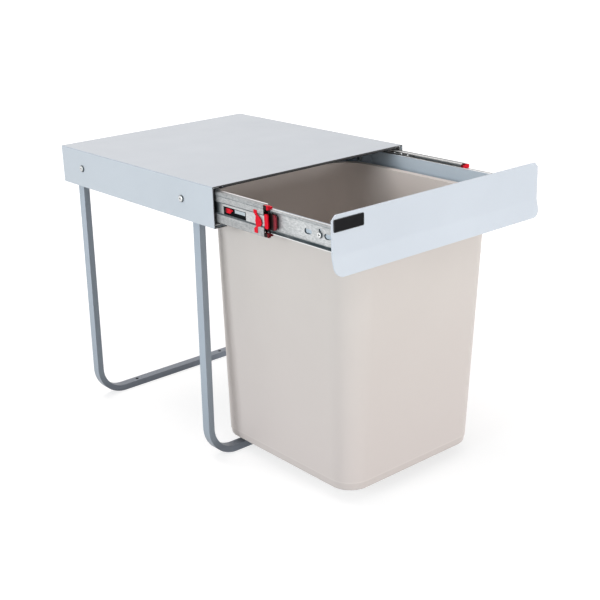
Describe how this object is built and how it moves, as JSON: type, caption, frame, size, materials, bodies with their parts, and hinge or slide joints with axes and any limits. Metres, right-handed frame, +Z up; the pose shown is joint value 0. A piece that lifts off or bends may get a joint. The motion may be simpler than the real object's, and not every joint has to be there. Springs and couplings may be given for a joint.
{
  "type": "pull out bin frame",
  "caption": "Free-standing cabinet bin pull-out: folded steel shelf on U-shaped bar legs, ball slides, carriage with a front panel and a hanging rectangular bin.",
  "frame": {"origin": "on the floor under the middle of the width and of the whole length, with the carriage pulled out as in the picture", "axes": "+X to the right seen from the front, +Y towards the back, the carriage pulls out towards -Y, +Z up"},
  "size_m": [0.328, 0.5706, 0.3734],
  "materials": {
    "cover_paint": "pale blue-grey stoved powder coat, semi gloss",
    "leg_paint": "blue-grey powder coat on bent bar",
    "carriage_paint": "blue-grey powder coat on folded sheet",
    "panel_paint": "pale blue-grey powder coat",
    "slide_zinc": "bright zinc plating, cold rolled",
    "ball_steel": "polished ball steel",
    "screw_zinc": "bright zinc plated screws and nuts",
    "red_plastic": "glossy moulded red",
    "black_plastic": "matt moulded black",
    "badge_black": "glossy black with a bright rim",
    "bin_plastic": "fine-grained warm light grey moulding"
  },
  "bodies": {
    "frame": {"top_cover": "cover_paint", "front_leg": "leg_paint", "rear_leg": "leg_paint", "leg_screws": "screw_zinc", "slide_screws": "screw_zinc", "left_outer_rail": "slide_zinc", "right_outer_rail": "slide_zinc", "left_rear_buffer": "black_plastic", "right_rear_buffer": "black_plastic"},
    "carriage": {"left_inner_rail": "slide_zinc", "right_inner_rail": "slide_zinc", "left_carriage_side": "carriage_paint", "right_carriage_side": "carriage_paint", "carriage_front_bar": "carriage_paint", "carriage_rear_bar": "carriage_paint", "inner_rail_screws": "screw_zinc", "inner_rail_nuts": "screw_zinc", "front_panel": "panel_paint", "panel_studs": "screw_zinc", "panel_nuts": "screw_zinc", "badge_plate": "badge_black", "waste_bin": "bin_plastic"},
    "left_middle": {"left_middle_rail": "slide_zinc", "left_end_cap": "red_plastic", "left_detent_plunger": "red_plastic", "left_detent_leaf": "slide_zinc"},
    "left_outer_race": {"left_outer_cage": "slide_zinc", "left_outer_balls": "ball_steel"},
    "left_inner_race": {"left_inner_cage": "slide_zinc", "left_inner_balls": "ball_steel"},
    "right_middle": {"right_middle_rail": "slide_zinc", "right_end_cap": "red_plastic", "right_detent_plunger": "red_plastic", "right_detent_leaf": "slide_zinc"},
    "right_outer_race": {"right_outer_cage": "slide_zinc", "right_outer_balls": "ball_steel"},
    "right_inner_race": {"right_inner_cage": "slide_zinc", "right_inner_balls": "ball_steel"}
  },
  "joints": [
    {"name": "carriage_slide", "type": "slide", "parent": "frame", "child": "carriage", "axis": [0, -1, 0], "range_m": [-0.205, 0.085]},
    {"name": "left_middle_slide", "type": "slide", "parent": "frame", "child": "left_middle", "axis": [0, -1, 0], "range_m": [-0.0995, 0.0416]},
    {"name": "left_outer_race_slide", "type": "slide", "parent": "frame", "child": "left_outer_race", "axis": [0, -1, 0], "range_m": [-0.05, 0.021]},
    {"name": "left_inner_race_slide", "type": "slide", "parent": "frame", "child": "left_inner_race", "axis": [0, -1, 0], "range_m": [-0.1525, 0.0635]},
    {"name": "right_middle_slide", "type": "slide", "parent": "frame", "child": "right_middle", "axis": [0, -1, 0], "range_m": [-0.126, 0.0525]},
    {"name": "right_outer_race_slide", "type": "slide", "parent": "frame", "child": "right_outer_race", "axis": [0, -1, 0], "range_m": [-0.0632, 0.0265]},
    {"name": "right_inner_race_slide", "type": "slide", "parent": "frame", "child": "right_inner_race", "axis": [0, -1, 0], "range_m": [-0.1657, 0.069]}
  ],
  "couplings": [
    {"joint": "left_middle_slide", "follows": "carriage_slide", "ratio": 0.483},
    {"joint": "left_outer_race_slide", "follows": "carriage_slide", "ratio": 0.2415},
    {"joint": "left_inner_race_slide", "follows": "carriage_slide", "ratio": 0.7415},
    {"joint": "right_middle_slide", "follows": "carriage_slide", "ratio": 0.612},
    {"joint": "right_outer_race_slide", "follows": "carriage_slide", "ratio": 0.306},
    {"joint": "right_inner_race_slide", "follows": "carriage_slide", "ratio": 0.806}
  ]
}
